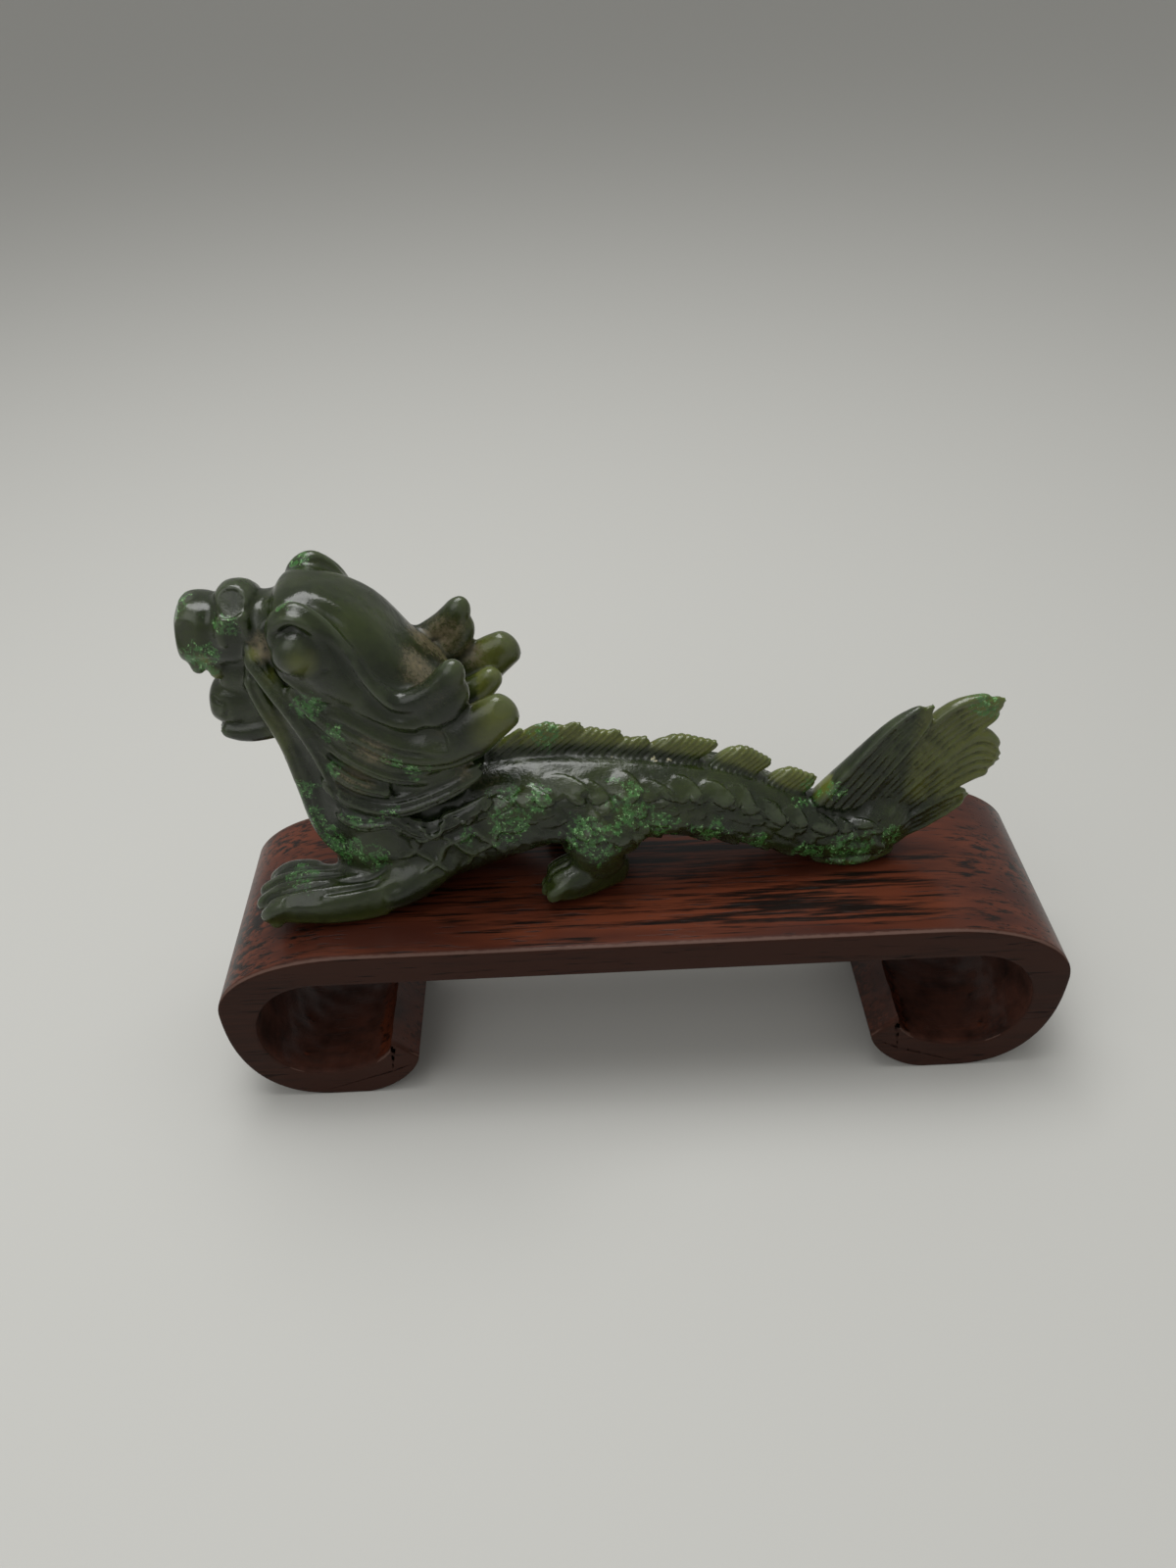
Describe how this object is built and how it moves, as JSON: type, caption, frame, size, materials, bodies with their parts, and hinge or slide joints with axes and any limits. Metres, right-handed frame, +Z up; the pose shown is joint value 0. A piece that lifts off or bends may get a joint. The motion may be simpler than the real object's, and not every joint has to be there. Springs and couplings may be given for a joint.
{
  "type": "jade dragon carving on a scroll stand",
  "caption": "Small carved stone dragon crouching along a narrow wooden stand whose board rolls under into a scroll at each end.",
  "frame": {"origin": "bottom centre of the stand, on the surface that it stands on", "axes": "+X along the stand from the dragon's head to its tail, +Y away from the side that is seen, +Z up"},
  "size_m": [0.15, 0.04, 0.097],
  "materials": {
    "jade": "polished, dark green with pale green flecks",
    "rosewood": "oiled satin, reddish brown with dark grain"
  },
  "bodies": {
    "root": {"jade_dragon": "jade", "scroll_stand": "rosewood"}
  },
  "joints": []
}
